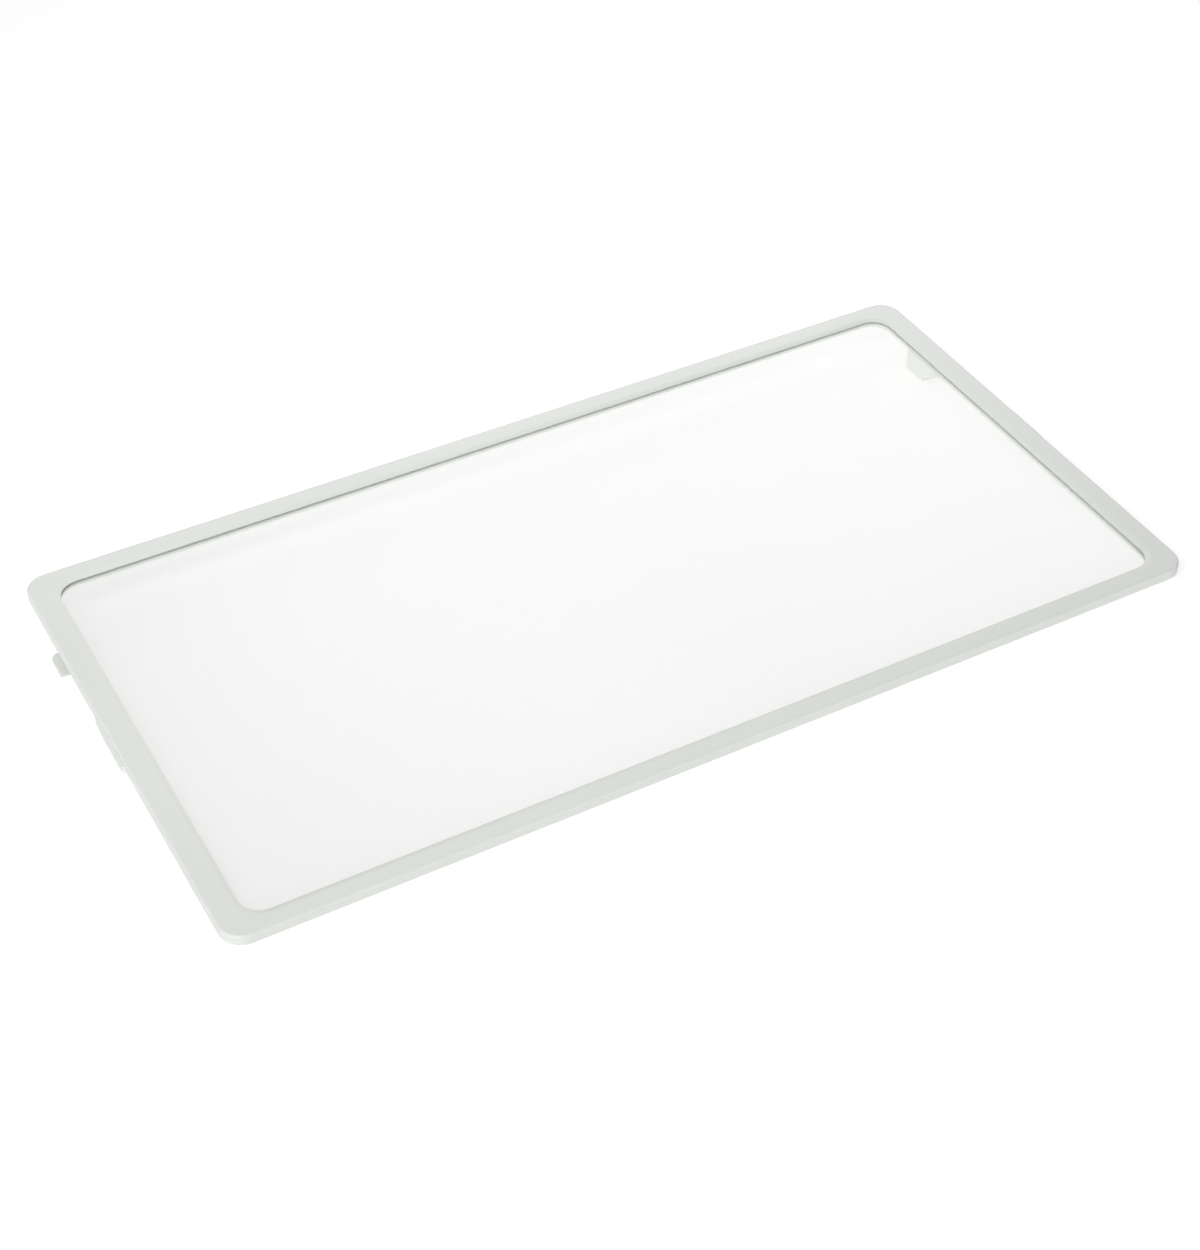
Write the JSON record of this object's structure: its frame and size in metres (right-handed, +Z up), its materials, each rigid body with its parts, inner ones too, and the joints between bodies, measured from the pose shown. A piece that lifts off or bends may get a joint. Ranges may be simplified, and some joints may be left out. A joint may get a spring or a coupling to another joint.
{
  "type": "fridge glass shelf",
  "caption": "Flat refrigerator shelf: clear tempered glass pane in a one-piece white plastic frame, with hooks and stop ribs on its sides that hold it on the cabinet's ledges.",
  "frame": {"origin": "under the middle of the shelf, level with the underside of the feet of its hooks", "axes": "+X to the right along the front edge, +Y from front to back, +Z up through the glass"},
  "size_m": [0.654, 0.3364, 0.0235],
  "materials": {
    "white_plastic": "satin moulded white",
    "clear_glass": "clear, polished"
  },
  "bodies": {
    "root": {"shelf_frame": "white_plastic", "glass_pane": "clear_glass"}
  },
  "joints": []
}
